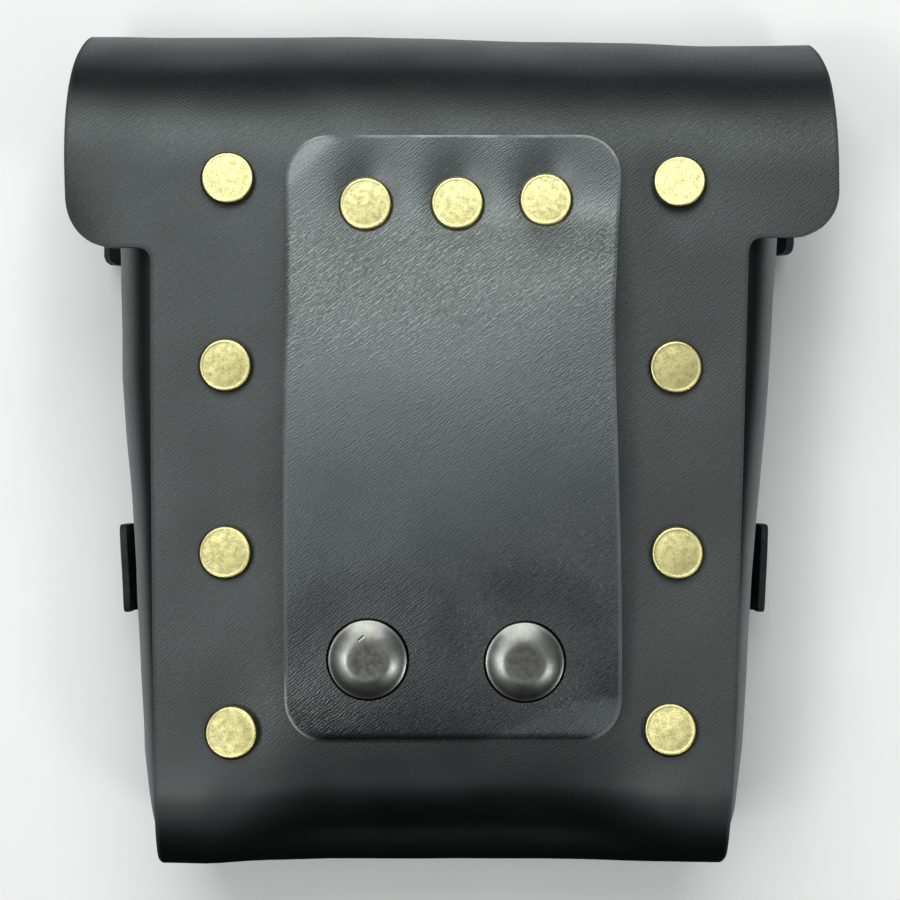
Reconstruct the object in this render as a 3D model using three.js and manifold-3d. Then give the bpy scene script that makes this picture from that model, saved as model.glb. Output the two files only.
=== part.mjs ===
// Black leather belt pouch, lying on its front with its back up.
// Millimetres. +X is right as seen from behind, +Y the pouch's top, +Z out of its back.
import * as THREE from 'three';
import { mergeVertices } from 'three/addons/utils/BufferGeometryUtils.js';
import Module from 'manifold-3d';

const wasm = await Module();
wasm.setup();

// Driving sizes.
const FIT = 0.3; // gap between pieces that lie on one another
const SHELL = 2.2; // leather of the shell and of the belt loop
const GUSSET = 1.8; // leather of the side walls
const STRAP = 1.5; // leather of the front strap
const BACK_Z = 53; // outer face of the back
const FRONT_Z = 4.6; // outer face of the front panel
const BEND_Y = -64.9; // where the back and the front turn into the bottom
const BEND_R = 16; // outer radius of the two bends of the bottom
const HALF_DEEP = (BACK_Z - FRONT_Z) / 2;
const MID_Z = (BACK_Z + FRONT_Z) / 2;
const FOLD_Y = 49; // where the back turns into the top fold
const MOUTH_Y = 44.3; // top edge of the front panel
const LEAN = 1.46; // degrees by which the flap leans in towards the strap
const WING_HALF = 73; // flat half width of the winged top
const TONGUE_HALF = 28;
const TONGUE_END = -47;
const TONGUE_CORNER = 10;
const CURL_BACK = 20; // degrees by which a wing's hem rolls in at the back and at the front
const CURL_FRONT = 46;
const SKEW = 0.8; // the crest of the fold stands this much higher at the left, lower at the right
const SHOULDER = { radius: 27, turn: 55 };
const CROWN = { radius: 65, turn: 25 };
const FLANGE_IN = 36; // inner edge of the flanges of the side walls
const FLANGE_BEND = 3; // the flanges turn out this far inside the shell's edges
const GUSSET_TOP = 49.4; // middle of the top edge of a side wall
const GUSSET_RISE = 5.1; // its back corner stands this much higher, its front one lower
const BEND_END = 75; // degrees of the bottom bends that the side walls follow
const STRAP_Y = -25.7;
const STRAP_WIDTH = 16.6;
const STRAP_END_Z = 17.5; // height of its cut ends at the sides
const STRAP_DIP = 2.7; // it dips this far in, beside the tongue, to the front panel
const SHANK = 1.5; // radius of a rivet's shank
const HOLE = 1.9;
const POST = 2.4; // radius of the post of a snap
const LOOP_CORNER = 8;
const FRONT_CORNER = 2; // corners of the wings at the front
const MIDDLE = 1.0; // height of the middle of the whole length, which becomes the origin

// Edges of the shell on both sides, from the middle, at heights of the pouch.
const BODY = [
  { y: -80, left: 55.9, right: 52.6 },
  { y: -48, left: 55.4, right: 53.8 },
  { y: -7, left: 55.9, right: 54.8 },
  { y: 38, left: 56.0, right: 56.0 },
];
// Widest points of the side walls, which bulge past those edges.
const BULGE = [
  { y: -79, left: 56.4, right: 53.2 },
  { y: -71, left: 58.6, right: 55.8 },
  { y: -59, left: 60.4, right: 57.4 },
  { y: -35, left: 61.5, right: 58.8 },
  { y: -12, left: 62.9, right: 60.6 },
  { y: 12, left: 64.7, right: 62.7 },
  { y: 46, left: 65.2, right: 64.6 },
];
// Lower edges of the wings at the back and at the front, and their rounded corners at the back.
const WINGS = [
  { side: 'left', sign: -1, back: 36.4, front: 36.9, corner: 9.4 },
  { side: 'right', sign: 1, back: 37.5, front: 38.5, corner: 8.2 },
];
// Side edges of the belt loop, waisted where it is bowed.
const LOOP = [
  { y: -56, left: 30.6, right: 31.9 },
  { y: -30, left: 30.8, right: 32.0 },
  { y: 10, left: 30.7, right: 31.0 },
  { y: 25, left: 30.4, right: 30.5 },
  { y: 45, left: 30.7, right: 31.8 },
  { y: 57, left: 30.9, right: 32.1 },
];
// Clear gap between the back and the belt loop: flat round the snaps, bowed, and flush at the rivets.
const LOOP_GAP = [
  { y: -56, gap: 3.6 },
  { y: -48.5, gap: 4.1 },
  { y: -32.5, gap: 4.2 },
  { y: -22, gap: 5.4 },
  { y: -8, gap: 5.75 },
  { y: 4, gap: 5.5 },
  { y: 18, gap: 4.3 },
  { y: 28, gap: 2.6 },
  { y: 36, gap: 0.8 },
  { y: 39.5, gap: FIT },
  { y: 57, gap: FIT },
];
const BACK_RIVETS = [
  { name: 'left_1', x: -41.8, y: 49.0 },
  { name: 'left_2', x: -42.2, y: 14.1 },
  { name: 'left_3', x: -42.2, y: -21.0 },
  { name: 'left_4', x: -41.0, y: -54.7 },
  { name: 'right_1', x: 43.0, y: 48.3 },
  { name: 'right_2', x: 42.2, y: 13.8 },
  { name: 'right_3', x: 42.5, y: -21.1 },
  { name: 'right_4', x: 41.2, y: -54.3 },
];
const LOOP_RIVETS = [
  { name: 'left', x: -15.8, y: 44.1 },
  { name: 'mid', x: 1.3, y: 44.2 },
  { name: 'right', x: 17.8, y: 44.8 },
];
const SNAPS = [
  { name: 'left', x: -15.3, y: -40.3 },
  { name: 'right', x: 13.7, y: -40.8 },
];
const FRONT_ROWS = [
  { row: 1, y: 27.1, seat: FRONT_Z },
  { row: 2, y: 0.7, seat: FRONT_Z },
  { row: 3, y: STRAP_Y, seat: STRAP_DIP },
  { row: 4, y: -52.1, seat: FRONT_Z },
];
const FRONT_X = 42.2;

const MATERIALS = {
  leather: { color: 0x2c2d2f, roughness: 0.55, metalness: 0 },
  brass: { color: 0x93814f, roughness: 0.42, metalness: 1 },
  gunmetal: { color: 0x4a4a4d, roughness: 0.35, metalness: 1 },
};
for (const name in MATERIALS) {
  MATERIALS[name] = new THREE.MeshStandardMaterial({ name, ...MATERIALS[name] });
}
const part = new THREE.Group();
part.name = 'tool_belt_pouch';

function add(name, geometry, material) {
  const mesh = new THREE.Mesh(geometry.translate(0, -MIDDLE, 0), MATERIALS[material]);
  mesh.name = name;
  part.add(mesh);
}

function rad(degrees) {
  return THREE.MathUtils.degToRad(degrees);
}

// A column of a table at a height, along straight lines from row to row.
function look(table, y, column) {
  const high = table.findIndex((row) => row.y >= y);
  if (high === 0) return table[0][column];
  if (high < 0) return table.at(-1)[column];
  const [a, b] = [table[high - 1], table[high]];
  return THREE.MathUtils.lerp(a[column], b[column], (y - a.y) / (b.y - a.y));
}

function edge(table, y, sign) {
  return look(table, y, sign < 0 ? 'left' : 'right');
}

// Where a leg of a walk has come to after a distance: place along two axes and heading.
function onLeg(leg, distance) {
  const heading = leg.heading + leg.bend * distance;
  if (leg.bend === 0) {
    return [leg.a + Math.cos(heading) * distance, leg.b + Math.sin(heading) * distance, heading];
  }
  return [
    leg.a + (Math.sin(heading) - Math.sin(leg.heading)) / leg.bend,
    leg.b - (Math.cos(heading) - Math.cos(leg.heading)) / leg.bend,
    heading,
  ];
}

// A line of straight runs and bends in a plane. The outer face lies to the left of the walker.
function walk(start, heading, runs) {
  const legs = {};
  const stops = [0];
  let place = [...start, rad(heading)];
  let from = 0;
  for (const run of runs) {
    const turn = rad(run.turn ?? 0);
    const length = run.length ?? Math.abs(run.radius * turn);
    const leg = { a: place[0], b: place[1], heading: place[2], bend: turn / length, from, length };
    legs[run.name] = leg;
    for (let k = 1; k <= (run.steps ?? 1); k += 1) {
      stops.push(from + (length * k) / (run.steps ?? 1));
    }
    place = onLeg(leg, length);
    from += length;
  }
  function at(s) {
    const leg = Object.values(legs).findLast((one) => one.from <= s) ?? Object.values(legs)[0];
    return onLeg(leg, s - leg.from);
  }
  return { legs, stops, at, length: from };
}

function normalAt(grid, i, j) {
  const row = grid[i];
  const across = row[Math.min(j + 1, row.length - 1)].clone().sub(row[Math.max(j - 1, 0)]);
  const along = grid[Math.min(i + 1, grid.length - 1)][j].clone().sub(grid[Math.max(i - 1, 0)][j]);
  return across.cross(along).normalize();
}

// A closed sheet: the outer face is a grid of points, the inner one lies a thickness behind it, and
// side faces close the rim of the cells that are on.
function sheet(grid, thick, isOn = () => true) {
  const inner = grid.map((row, i) => (
    row.map((p, j) => p.clone().addScaledVector(normalAt(grid, i, j), -thick))
  ));
  const points = [];
  const quad = (a, b, c, d) => points.push(a, b, c, a, c, d);
  const rows = grid.length - 1;
  const columns = grid[0].length - 1;
  const on = (i, j) => i >= 0 && j >= 0 && i < rows && j < columns && isOn(i, j);
  for (let i = 0; i < rows; i += 1) {
    for (let j = 0; j < columns; j += 1) {
      if (!on(i, j)) continue;
      const [a, b, c, d] = [grid[i][j], grid[i][j + 1], grid[i + 1][j + 1], grid[i + 1][j]];
      const [e, f, g, h] = [inner[i][j], inner[i][j + 1], inner[i + 1][j + 1], inner[i + 1][j]];
      quad(a, b, c, d);
      quad(h, g, f, e);
      if (!on(i - 1, j)) quad(b, a, e, f);
      if (!on(i + 1, j)) quad(d, c, g, h);
      if (!on(i, j - 1)) quad(a, d, h, e);
      if (!on(i, j + 1)) quad(c, b, f, g);
    }
  }
  return mergeVertices(new THREE.BufferGeometry().setFromPoints(points), 1e-4);
}

function solid(geometry) {
  const bare = geometry.clone();
  bare.deleteAttribute('normal');
  bare.deleteAttribute('uv');
  const merged = mergeVertices(bare, 1e-4);
  return new wasm.Manifold(new wasm.Mesh({
    numProp: 3,
    vertProperties: new Float32Array(merged.attributes.position.array),
    triVerts: new Uint32Array(merged.index.array),
  }));
}

// The leather with round holes for what is fastened through it.
function drilled(geometry, holes) {
  let body = solid(geometry);
  for (const hole of holes) {
    const tool = new THREE.CylinderGeometry(hole.radius, hole.radius, hole.high - hole.low, 8);
    tool.rotateX(Math.PI / 2);
    tool.translate(hole.x, hole.y, (hole.low + hole.high) / 2);
    body = body.subtract(solid(tool));
  }
  const mesh = body.getMesh();
  const cut = new THREE.BufferGeometry();
  cut.setAttribute('position', new THREE.BufferAttribute(mesh.vertProperties, 3));
  cut.setIndex(new THREE.BufferAttribute(mesh.triVerts, 1));
  return cut;
}

// A turned piece on the Z axis, from a profile of radius and height.
function turned(profile, place, segments = 12) {
  const geometry = new THREE.LatheGeometry(profile.map((p) => new THREE.Vector2(...p)), segments);
  geometry.rotateX(Math.PI / 2);
  geometry.translate(place.x, place.y, 0);
  return geometry;
}

// Shell: front panel, bottom, back, top fold and flap in one walk from the front panel's top edge.
const crownDrop = SHOULDER.radius * (1 - Math.cos(rad(SHOULDER.turn)))
  + CROWN.radius * (Math.cos(rad(SHOULDER.turn)) - Math.cos(rad(SHOULDER.turn + CROWN.turn)));
const foldEnd = rad(SHOULDER.turn + CROWN.turn);
const brow = (BACK_Z - crownDrop) / (1 + Math.cos(foldEnd));
const browY = FOLD_Y + SHOULDER.radius * Math.sin(rad(SHOULDER.turn))
  + CROWN.radius * (Math.sin(foldEnd) - Math.sin(rad(SHOULDER.turn))) - brow * Math.sin(foldEnd);
const shellWalk = walk([MOUTH_Y, FRONT_Z], 180, [
  { name: 'front', length: MOUTH_Y - BEND_Y },
  { name: 'front bend', radius: BEND_R, turn: -90, steps: 8 },
  { name: 'bottom', length: 2 * (HALF_DEEP - BEND_R) },
  { name: 'back bend', radius: BEND_R, turn: -90, steps: 8 },
  { name: 'back', length: FOLD_Y - BEND_Y, steps: 3 },
  { name: 'shoulder', ...SHOULDER, turn: -SHOULDER.turn, steps: 6 },
  { name: 'crown', ...CROWN, turn: -CROWN.turn, steps: 4 },
  { name: 'brow', radius: brow, turn: -(180 - SHOULDER.turn - CROWN.turn + LEAN), steps: 10 },
  { name: 'flap', length: browY + 8 },
  { name: 'level', radius: 60, turn: LEAN },
  { name: 'tongue', length: -8 - 1.5 - TONGUE_END },
]);
const { back, shoulder, brow: browLeg, flap } = shellWalk.legs;
const backAt = (y) => back.from + y - BEND_Y;
const flapAt = (y) => flap.from + (browY - y) / Math.cos(rad(LEAN));

// Half width of a wing at a place on the walk: full, but rounded near its two lower edges.
function wingHalf(wing, s) {
  const fromBack = s - backAt(wing.back);
  const fromFront = flapAt(wing.front) - s;
  const corner = fromBack < fromFront ? wing.corner : FRONT_CORNER;
  const past = Math.max(corner - Math.max(Math.min(fromBack, fromFront), 0), 0);
  return WING_HALF - corner + Math.sqrt(corner ** 2 - past ** 2);
}

function tongueHalf(s) {
  const past = Math.max(s - (shellWalk.length - TONGUE_CORNER), 0);
  return TONGUE_HALF - TONGUE_CORNER + Math.sqrt(TONGUE_CORNER ** 2 - past ** 2);
}

// A point of the shell's outer face from its flat place. Past the body's edge the wings roll in.
function shellPoint(s, x, sign) {
  const [y, z, heading] = shellWalk.at(s);
  const body = edge(BODY, y, sign);
  const backRoll = CURL_BACK * (1 - THREE.MathUtils.smoothstep(s, backAt(38), shoulder.from + 20));
  const frontRoll = CURL_FRONT * THREE.MathUtils.smoothstep(s, browLeg.from, flapAt(44));
  const roll = rad(Math.max(backRoll, frontRoll, 0.01)) / (WING_HALF - body);
  const past = Math.max(Math.abs(x) - body, 0);
  const sunk = (1 - Math.cos(past * roll)) / roll;
  const reach = Math.abs(x) - past + Math.sin(past * roll) / roll;
  const rise = THREE.MathUtils.smoothstep(s, shoulder.from, browLeg.from)
    * (1 - THREE.MathUtils.smoothstep(s, browLeg.from + 8, flap.from));
  return new THREE.Vector3(
    sign * reach,
    y + sunk * Math.sin(heading) - (rise * SKEW * sign * reach) / WING_HALF,
    z - sunk * Math.cos(heading),
  );
}

function shellRows() {
  const rows = [...shellWalk.stops];
  for (const wing of WINGS) {
    for (const share of [0, 0.06, 0.2, 0.42, 0.7, 1]) rows.push(backAt(wing.back) + wing.corner * share);
    for (const share of [0, 0.3, 1]) rows.push(flapAt(wing.front) - FRONT_CORNER * share);
  }
  for (const share of [0.98, 0.9, 0.75, 0.5, 0.2]) {
    rows.push(shellWalk.length - TONGUE_CORNER * (1 - share));
  }
  rows.push(backAt(-7), backAt(-48));
  rows.sort((a, b) => a - b);
  return rows.filter((s, i) => i === 0 || s - rows[i - 1] > 0.02);
}

function shellGeometry() {
  const rows = shellRows();
  const shares = [0, 1 / 3, 2 / 3, 1];
  const grid = rows.map((s) => {
    const y = shellWalk.at(s)[0];
    const half = WINGS.map((wing) => {
      const body = edge(BODY, y, wing.sign);
      const outer = shares.map((share) => THREE.MathUtils.lerp(body, wingHalf(wing, s), share));
      return [tongueHalf(s), ...outer].map((x) => shellPoint(s, x, wing.sign));
    });
    return [...half[0].reverse(), ...half[1]];
  });
  const wings = shares.length - 1;
  const lastColumn = grid[0].length - 2;
  function isOn(i, j) {
    const s = (rows[i] + rows[i + 1]) / 2;
    const wing = WINGS[j > lastColumn / 2 ? 1 : 0];
    const inWing = s > backAt(wing.back) && s < flapAt(wing.front);
    const fromRim = Math.min(j, lastColumn - j);
    if (fromRim < wings) return inWing;
    if (fromRim === wings) return s < flapAt(wing.front);
    return true;
  }
  const holes = [
    ...BACK_RIVETS.map((one) => ({ ...one, radius: HOLE, low: 40, high: 60 })),
    ...LOOP_RIVETS.map((one) => ({ ...one, radius: HOLE, low: 40, high: 60 })),
    ...SNAPS.map((one) => ({ ...one, radius: HOLE, low: 40, high: 60 })),
    ...FRONT_ROWS.flatMap((one) => [-FRONT_X, FRONT_X].map((x) => (
      { x, y: one.y, radius: HOLE, low: 3.5, high: 8 }
    ))),
  ];
  return drilled(sheet(grid, SHELL, isOn), holes);
}

// Side wall: a section from the back flange round the bulge to the front flange, at heights of the pouch.
const GUSSET_HALF = HALF_DEEP - SHELL - FIT;
const GUSSET_R = BEND_R - SHELL - FIT;
function gussetRows() {
  const rows = [1, 0.72, 0.4, 0.1].map((share) => (
    { y: THREE.MathUtils.lerp(30, GUSSET_TOP, share), share }
  ));
  for (const y of [12, -12, -35]) rows.push({ y, share: 0 });
  for (let k = 0; k <= 6; k += 1) {
    const turn = rad((BEND_END * k) / 6);
    const half = GUSSET_HALF - GUSSET_R * (1 - Math.cos(turn));
    rows.push({ y: BEND_Y - GUSSET_R * Math.sin(turn), half, share: 0 });
  }
  return rows;
}

function gussetPoint(row, u, sign) {
  const half = row.half ?? GUSSET_HALF;
  const seam = edge(BODY, row.y, sign) - FLANGE_BEND;
  const wide = edge(BULGE, row.y, sign);
  const round = Math.min(Math.max(u, 0), 1) * Math.PI;
  const x = seam + (wide - seam) * Math.sin(round) ** 0.8;
  const flange = u < 0 ? -u : Math.max(u - 1, 0);
  const across = THREE.MathUtils.lerp(x, FLANGE_IN, flange);
  const up = Math.cos(round);
  const y = row.y + row.share * GUSSET_RISE * up;
  const tuck = 1.3 * (BACK_Z - backFace(y)) * Math.max(up, 0);
  return new THREE.Vector3(sign * across, y, MID_Z + half * up - tuck);
}

function gussetGeometry(wing) {
  const steps = [-1, 0, 0.05, 0.13, 0.24, 0.37, 0.5, 0.63, 0.76, 0.87, 0.95, 1, 2];
  const rows = gussetRows();
  const grid = steps.map((u) => {
    const line = rows.map((row) => gussetPoint(row, u, wing.sign));
    return wing.sign < 0 ? line.reverse() : line;
  });
  const rivets = BACK_RIVETS.filter((one) => Math.sign(one.x) === wing.sign);
  return drilled(sheet(grid, GUSSET), [
    ...rivets.map((one) => ({ ...one, radius: HOLE, low: 44, high: 54 })),
    ...FRONT_ROWS.map((one) => ({ x: wing.sign * FRONT_X, y: one.y, radius: HOLE, low: 5, high: 12 })),
  ]);
}

// Height of the back's outer face, which drops away in the top fold.
function backFace(y) {
  const past = Math.max(y - FOLD_Y, 0);
  return BACK_Z - SHOULDER.radius + Math.sqrt(SHOULDER.radius ** 2 - past ** 2);
}

function loopGeometry() {
  const [low, high] = [LOOP[0].y, LOOP.at(-1).y];
  const rows = LOOP_GAP.map((row) => row.y).filter((y) => y > low + LOOP_CORNER && y < high - LOOP_CORNER);
  for (const share of [0, 0.06, 0.2, 0.42, 0.7, 1]) {
    rows.push(low + LOOP_CORNER * share, high - LOOP_CORNER * share);
  }
  rows.sort((a, b) => a - b);
  const grid = rows.map((y) => {
    const past = Math.max(LOOP_CORNER - Math.min(y - low, high - y), 0);
    const inset = LOOP_CORNER - Math.sqrt(LOOP_CORNER ** 2 - past ** 2);
    const z = backFace(y) + look(LOOP_GAP, y, 'gap') + SHELL;
    const [left, right] = [-1, 1].map((sign) => sign * (edge(LOOP, y, sign) - inset));
    return [0, 1 / 3, 2 / 3, 1].map((t) => new THREE.Vector3(THREE.MathUtils.lerp(left, right, t), y, z));
  });
  return drilled(sheet(grid, SHELL), [
    ...LOOP_RIVETS.map((one) => ({ ...one, radius: HOLE, low: 52, high: 60 })),
    ...SNAPS.map((one) => ({ ...one, radius: POST + 0.4, low: 54, high: 60 })),
  ]);
}

// Strap: walked from its right end round the front to its left end, dipping to the panel at the rivets.
function strapGeometry() {
  const dipTurn = 35;
  const dipR = STRAP_DIP / 2 / (1 - Math.cos(rad(dipTurn)));
  const side = 9;
  const end = { length: STRAP_END_Z - STRAP_DIP - side };
  const corner = { radius: side, turn: -90, steps: 6 };
  const strapWalk = walk([64, STRAP_END_Z], -90, [
    { name: 'right end', ...end },
    { name: 'right corner', ...corner },
    { name: 'right', length: 64 - side - 37.6 },
    { name: 'dip 1', radius: dipR, turn: 35, steps: 3 },
    { name: 'dip 2', radius: dipR, turn: -35, steps: 3 },
    { name: 'middle', length: 2 * (37.6 - 2 * dipR * Math.sin(rad(dipTurn))) },
    { name: 'dip 3', radius: dipR, turn: -35, steps: 3 },
    { name: 'dip 4', radius: dipR, turn: 35, steps: 3 },
    { name: 'left', length: 66.6 - side - 37.6 },
    { name: 'left corner', ...corner },
    { name: 'left end', ...end },
  ]);
  const grid = strapWalk.stops.map((s) => {
    const [x, z] = strapWalk.at(s);
    return [0.5, -0.5].map((t) => new THREE.Vector3(x, STRAP_Y + t * STRAP_WIDTH, z));
  });
  return drilled(sheet(grid, STRAP), [-FRONT_X, FRONT_X].map((x) => (
    { x, y: STRAP_Y, radius: HOLE, low: 1, high: 6 }
  )));
}

// Rivet: a cap on the outer face, a shank through the leather and a flat cap on the inner face.
function rivetProfile(seat, far, up) {
  const cap = [[4.4, 0], [5.1, 0.45], [5.05, 1.3], [4.4, 1.9], [0, 2.05]];
  const foot = [[0, -1.1], [3.6, -0.9], [4, -0.2], [3.8, 0]];
  const outer = cap.map(([r, h]) => [r, seat + up * (FIT + h)]);
  const inner = foot.map(([r, h]) => [r, far - up * FIT + up * h]);
  const line = [...inner, [SHANK, far - up * FIT], [SHANK, seat + up * FIT], ...outer];
  return up > 0 ? line : line.reverse();
}

add('shell', shellGeometry(), 'leather');
for (const wing of WINGS) add(`gusset_${wing.side}`, gussetGeometry(wing), 'leather');
add('belt_loop', loopGeometry(), 'leather');
add('front_strap', strapGeometry(), 'leather');

const flangeBack = BACK_Z - SHELL - FIT - GUSSET;
for (const one of BACK_RIVETS) {
  const tucked = one.y > FOLD_Y - 5 ? 1 : 0;
  add(`back_rivet_${one.name}`, turned(rivetProfile(BACK_Z, flangeBack - tucked, 1), one), 'brass');
}
for (const one of LOOP_RIVETS) {
  const seat = backFace(one.y) + look(LOOP_GAP, one.y, 'gap') + SHELL;
  add(`loop_rivet_${one.name}`, turned(rivetProfile(seat, BACK_Z - SHELL, 1), one), 'brass');
}
const flangeFront = FRONT_Z + SHELL + FIT + GUSSET;
for (const wing of WINGS) {
  for (const one of FRONT_ROWS) {
    const place = { x: wing.sign * FRONT_X, y: one.y };
    const profile = rivetProfile(one.seat, flangeFront, -1);
    add(`front_rivet_${wing.side}_${one.row}`, turned(profile, place), 'brass');
  }
}
// Snap: a domed cap with a sunk middle and a socket clamp the loop, and a stud on the back is gripped.
for (const one of SNAPS) {
  const under = BACK_Z + look(LOOP_GAP, one.y, 'gap');
  const top = under + SHELL + FIT;
  const cap = [
    [0, under - 0.5], [2.1, under - 0.5], [2.1, under - 1.5], [5.6, under - 1.5], [6, under - FIT],
    [POST, under - FIT], [POST, top], [7.2, top], [7.5, top + 0.4], [7.1, top + 1], [5.8, top + 1.6],
    [4.6, top + 1.8], [3.8, top + 1.6], [0, top + 1.6],
  ];
  add(`snap_cap_${one.name}`, turned(cap, one, 16), 'gunmetal');
  const inside = BACK_Z - SHELL - FIT;
  const stud = [
    [0, inside - 1], [4, inside - 0.8], [4.2, inside], [SHANK, inside], [SHANK, BACK_Z + 0.2],
    [4.4, BACK_Z + 0.2], [4.4, BACK_Z + 0.7], [1.7, BACK_Z + 0.7], [1.7, under - 0.8], [0, under - 0.8],
  ];
  add(`snap_stud_${one.name}`, turned(stud, one), 'gunmetal');
}

export default part;
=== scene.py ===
# %% [markdown]
# # A tool belt pouch in black leather
# The pouch lies on its front on a pale table, and the camera looks straight down on its back. One
# long blank of leather makes the front, the bottom, the back, the winged top fold and the flap. Two
# side walls, a belt loop, a strap, rivets and snaps finish it. The solids of all of these are loaded
# as a fixed frame, and each one is replaced here by a finer piece in the same place.

# %% Load the frame
import math

import bpy
import numpy as np
from mathutils import Matrix, Vector


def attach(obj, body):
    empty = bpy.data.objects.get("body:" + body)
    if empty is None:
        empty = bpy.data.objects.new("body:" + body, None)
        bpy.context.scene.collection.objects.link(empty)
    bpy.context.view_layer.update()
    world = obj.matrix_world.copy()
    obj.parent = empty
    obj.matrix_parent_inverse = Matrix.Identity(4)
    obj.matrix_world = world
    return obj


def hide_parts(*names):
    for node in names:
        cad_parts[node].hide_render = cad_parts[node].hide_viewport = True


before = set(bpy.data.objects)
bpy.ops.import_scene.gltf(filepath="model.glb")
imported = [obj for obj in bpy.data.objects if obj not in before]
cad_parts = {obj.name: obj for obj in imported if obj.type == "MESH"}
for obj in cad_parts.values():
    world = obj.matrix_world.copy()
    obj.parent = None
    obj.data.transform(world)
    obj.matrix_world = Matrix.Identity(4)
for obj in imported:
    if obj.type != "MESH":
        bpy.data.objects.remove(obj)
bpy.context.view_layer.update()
print("solids in the frame:", len(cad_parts))

# %% [markdown]
# ## Camera
# A straight view from above needs no turning: a new camera already looks down -Z with +Y upwards.
# The picture shows 168.75 mm at the height of the back, from 450 mm away.

# %% Camera
CAMERA_AWAY = 450
scene = bpy.context.scene
lens = bpy.data.cameras.new("camera")
lens.sensor_width = 36
lens.lens = 96
camera = bpy.data.objects.new("camera", lens)
camera.location = (-0.0001, -0.0027, 0.503)
scene.collection.objects.link(camera)
scene.camera = camera
scene.view_settings.view_transform = "Standard"
print("width shown at the back, mm:", CAMERA_AWAY * lens.sensor_width / lens.lens)

# %% [markdown]
# ## Table and light
# Black leather shows its shape by what it mirrors, so the light is planned like a studio. Two soft boxes
# beyond the pouch's top give the long fade down the back, a third one lifts the left side, and a small
# bright strip at each side puts the two small lights into the ring of each snap. A mirror shows in which
# direction a lamp stands and how bright its face is, so lamps are given by angles and radiance.

# %% Table and light
POUCH = Vector((0, 0.02, 0.05))
LAMP_AWAY = 1.05
LAMP_TINT = (0.968, 1.0, 0.972)


def soft_box(name, around, tilt, size, radiance):
    """A lamp that faces the pouch from a distance, at an angle around it (0 is +X, 90 is +Y) and a tilt
    from straight up. Its power is pi times its area times its radiance."""
    lamp = bpy.data.lights.new(name, "AREA")
    lamp.shape = "RECTANGLE"
    lamp.size, lamp.size_y = size
    lamp.energy = math.pi * size[0] * size[1] * radiance
    lamp.color = LAMP_TINT
    box = bpy.data.objects.new(name, lamp)
    turn, lean = math.radians(around), math.radians(tilt)
    out = Vector((math.sin(lean) * math.cos(turn), math.sin(lean) * math.sin(turn), math.cos(lean)))
    level = Vector((0, 0, 1)).cross(out).normalized()
    axes = Matrix((level, out.cross(level), out)).transposed()
    box.matrix_world = Matrix.Translation(POUCH + out * LAMP_AWAY) @ axes.to_4x4()
    scene.collection.objects.link(box)


soft_box("box top", 97, 21, (0.70, 0.24), 3.7)
soft_box("box far", 97, 43, (0.90, 0.56), 4.0)
soft_box("box left", 190, 23, (0.42, 0.28), 2.1)
soft_box("strip left", 216, 27, (0.31, 0.13), 13.0)
soft_box("strip right", -42, 34, (0.18, 0.16), 13.0)

table = bpy.data.meshes.new("table")
table.from_pydata([(-3, -3, 0), (3, -3, 0), (3, 3, 0), (-3, 3, 0)], [], [(0, 1, 2, 3)])
table_top = bpy.data.objects.new("table", table)
scene.collection.objects.link(table_top)
print("lamps:", len(bpy.data.lights))

# %% [markdown]
# ## Shader values
# Finishes are easier to read as sums and products than as wired boxes. A small class stands for one
# number that a shader works out, and Python's operators on it add Math nodes. A second class holds a
# material, and its one method adds any other node from its type, its settings and its sockets.

# %% Shader values
class Value:
    """An output of a shader node. Sums, differences, products and powers of it add Math nodes."""

    def __init__(self, finish, socket):
        self.finish = finish
        self.socket = socket

    def math(self, operation, first, second=0.0):
        """A Math node of two numbers or values."""
        return self.finish.node("Math", {"operation": operation}, {0: first, 1: second})

    def __add__(self, other):
        return self.math("ADD", self, other)

    def __radd__(self, other):
        return self.math("ADD", other, self)

    def __sub__(self, other):
        return self.math("SUBTRACT", self, other)

    def __rsub__(self, other):
        return self.math("SUBTRACT", other, self)

    def __mul__(self, other):
        return self.math("MULTIPLY", self, other)

    def __rmul__(self, other):
        return self.math("MULTIPLY", other, self)

    def __pow__(self, other):
        return self.math("POWER", self, other)

    def between(self, low, high):
        """0 at low, 1 at high and a smooth step between; low may be the larger."""
        return self.finish.node(
            "MapRange", {"interpolation_type": "SMOOTHSTEP"},
            {"Value": self, "From Min": low, "From Max": high},
        )


class Finish:
    """A material, or the room's light, in the making."""

    def __init__(self, name, kind=bpy.data.materials):
        self.material = kind.new(name)
        self.material.use_nodes = True
        self.tree = self.material.node_tree
        self.tree.nodes.clear()

    def node(self, kind, settings, sockets, out=0):
        """Adds any node: its settings first, then numbers or links for its sockets."""
        made = self.tree.nodes.new("ShaderNode" + kind)
        for key, setting in settings.items():
            setattr(made, key, setting)
        for key, given in sockets.items():
            if isinstance(given, Value):
                self.tree.links.new(given.socket, made.inputs[key])
            else:
                made.inputs[key].default_value = given
        return Value(self, made.outputs[out]) if made.outputs else None

    def mix(self, share, first, second):
        """A colour between two colours."""
        return self.node("Mix", {"data_type": "RGBA"}, {0: share, 6: first, 7: second}, out=2)

    def noise(self, place, scale, detail, rough=0.5):
        """Noise between 0 and 1, with the waves of a unit of length, finer layers and their strength."""
        return self.node(
            "TexNoise", {}, {"Vector": place, "Scale": scale, "Detail": detail, "Roughness": rough}
        )

    def bump(self, height, distance):
        """A normal from a height between 0 and 1 that stands for a distance in metres."""
        return self.node("Bump", {}, {"Height": height, "Distance": distance, "Strength": 1.0})

    def done(self, sockets):
        """Ends the material with one Principled shader."""
        skin = self.node("BsdfPrincipled", {}, sockets)
        self.node("OutputMaterial", {}, {"Surface": skin})
        return self.material


def grey(level, tint=(1, 1, 1)):
    """A colour of one level, leaning towards a tint."""
    return (level * tint[0], level * tint[1], level * tint[2], 1)


print("shader values ready")

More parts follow.
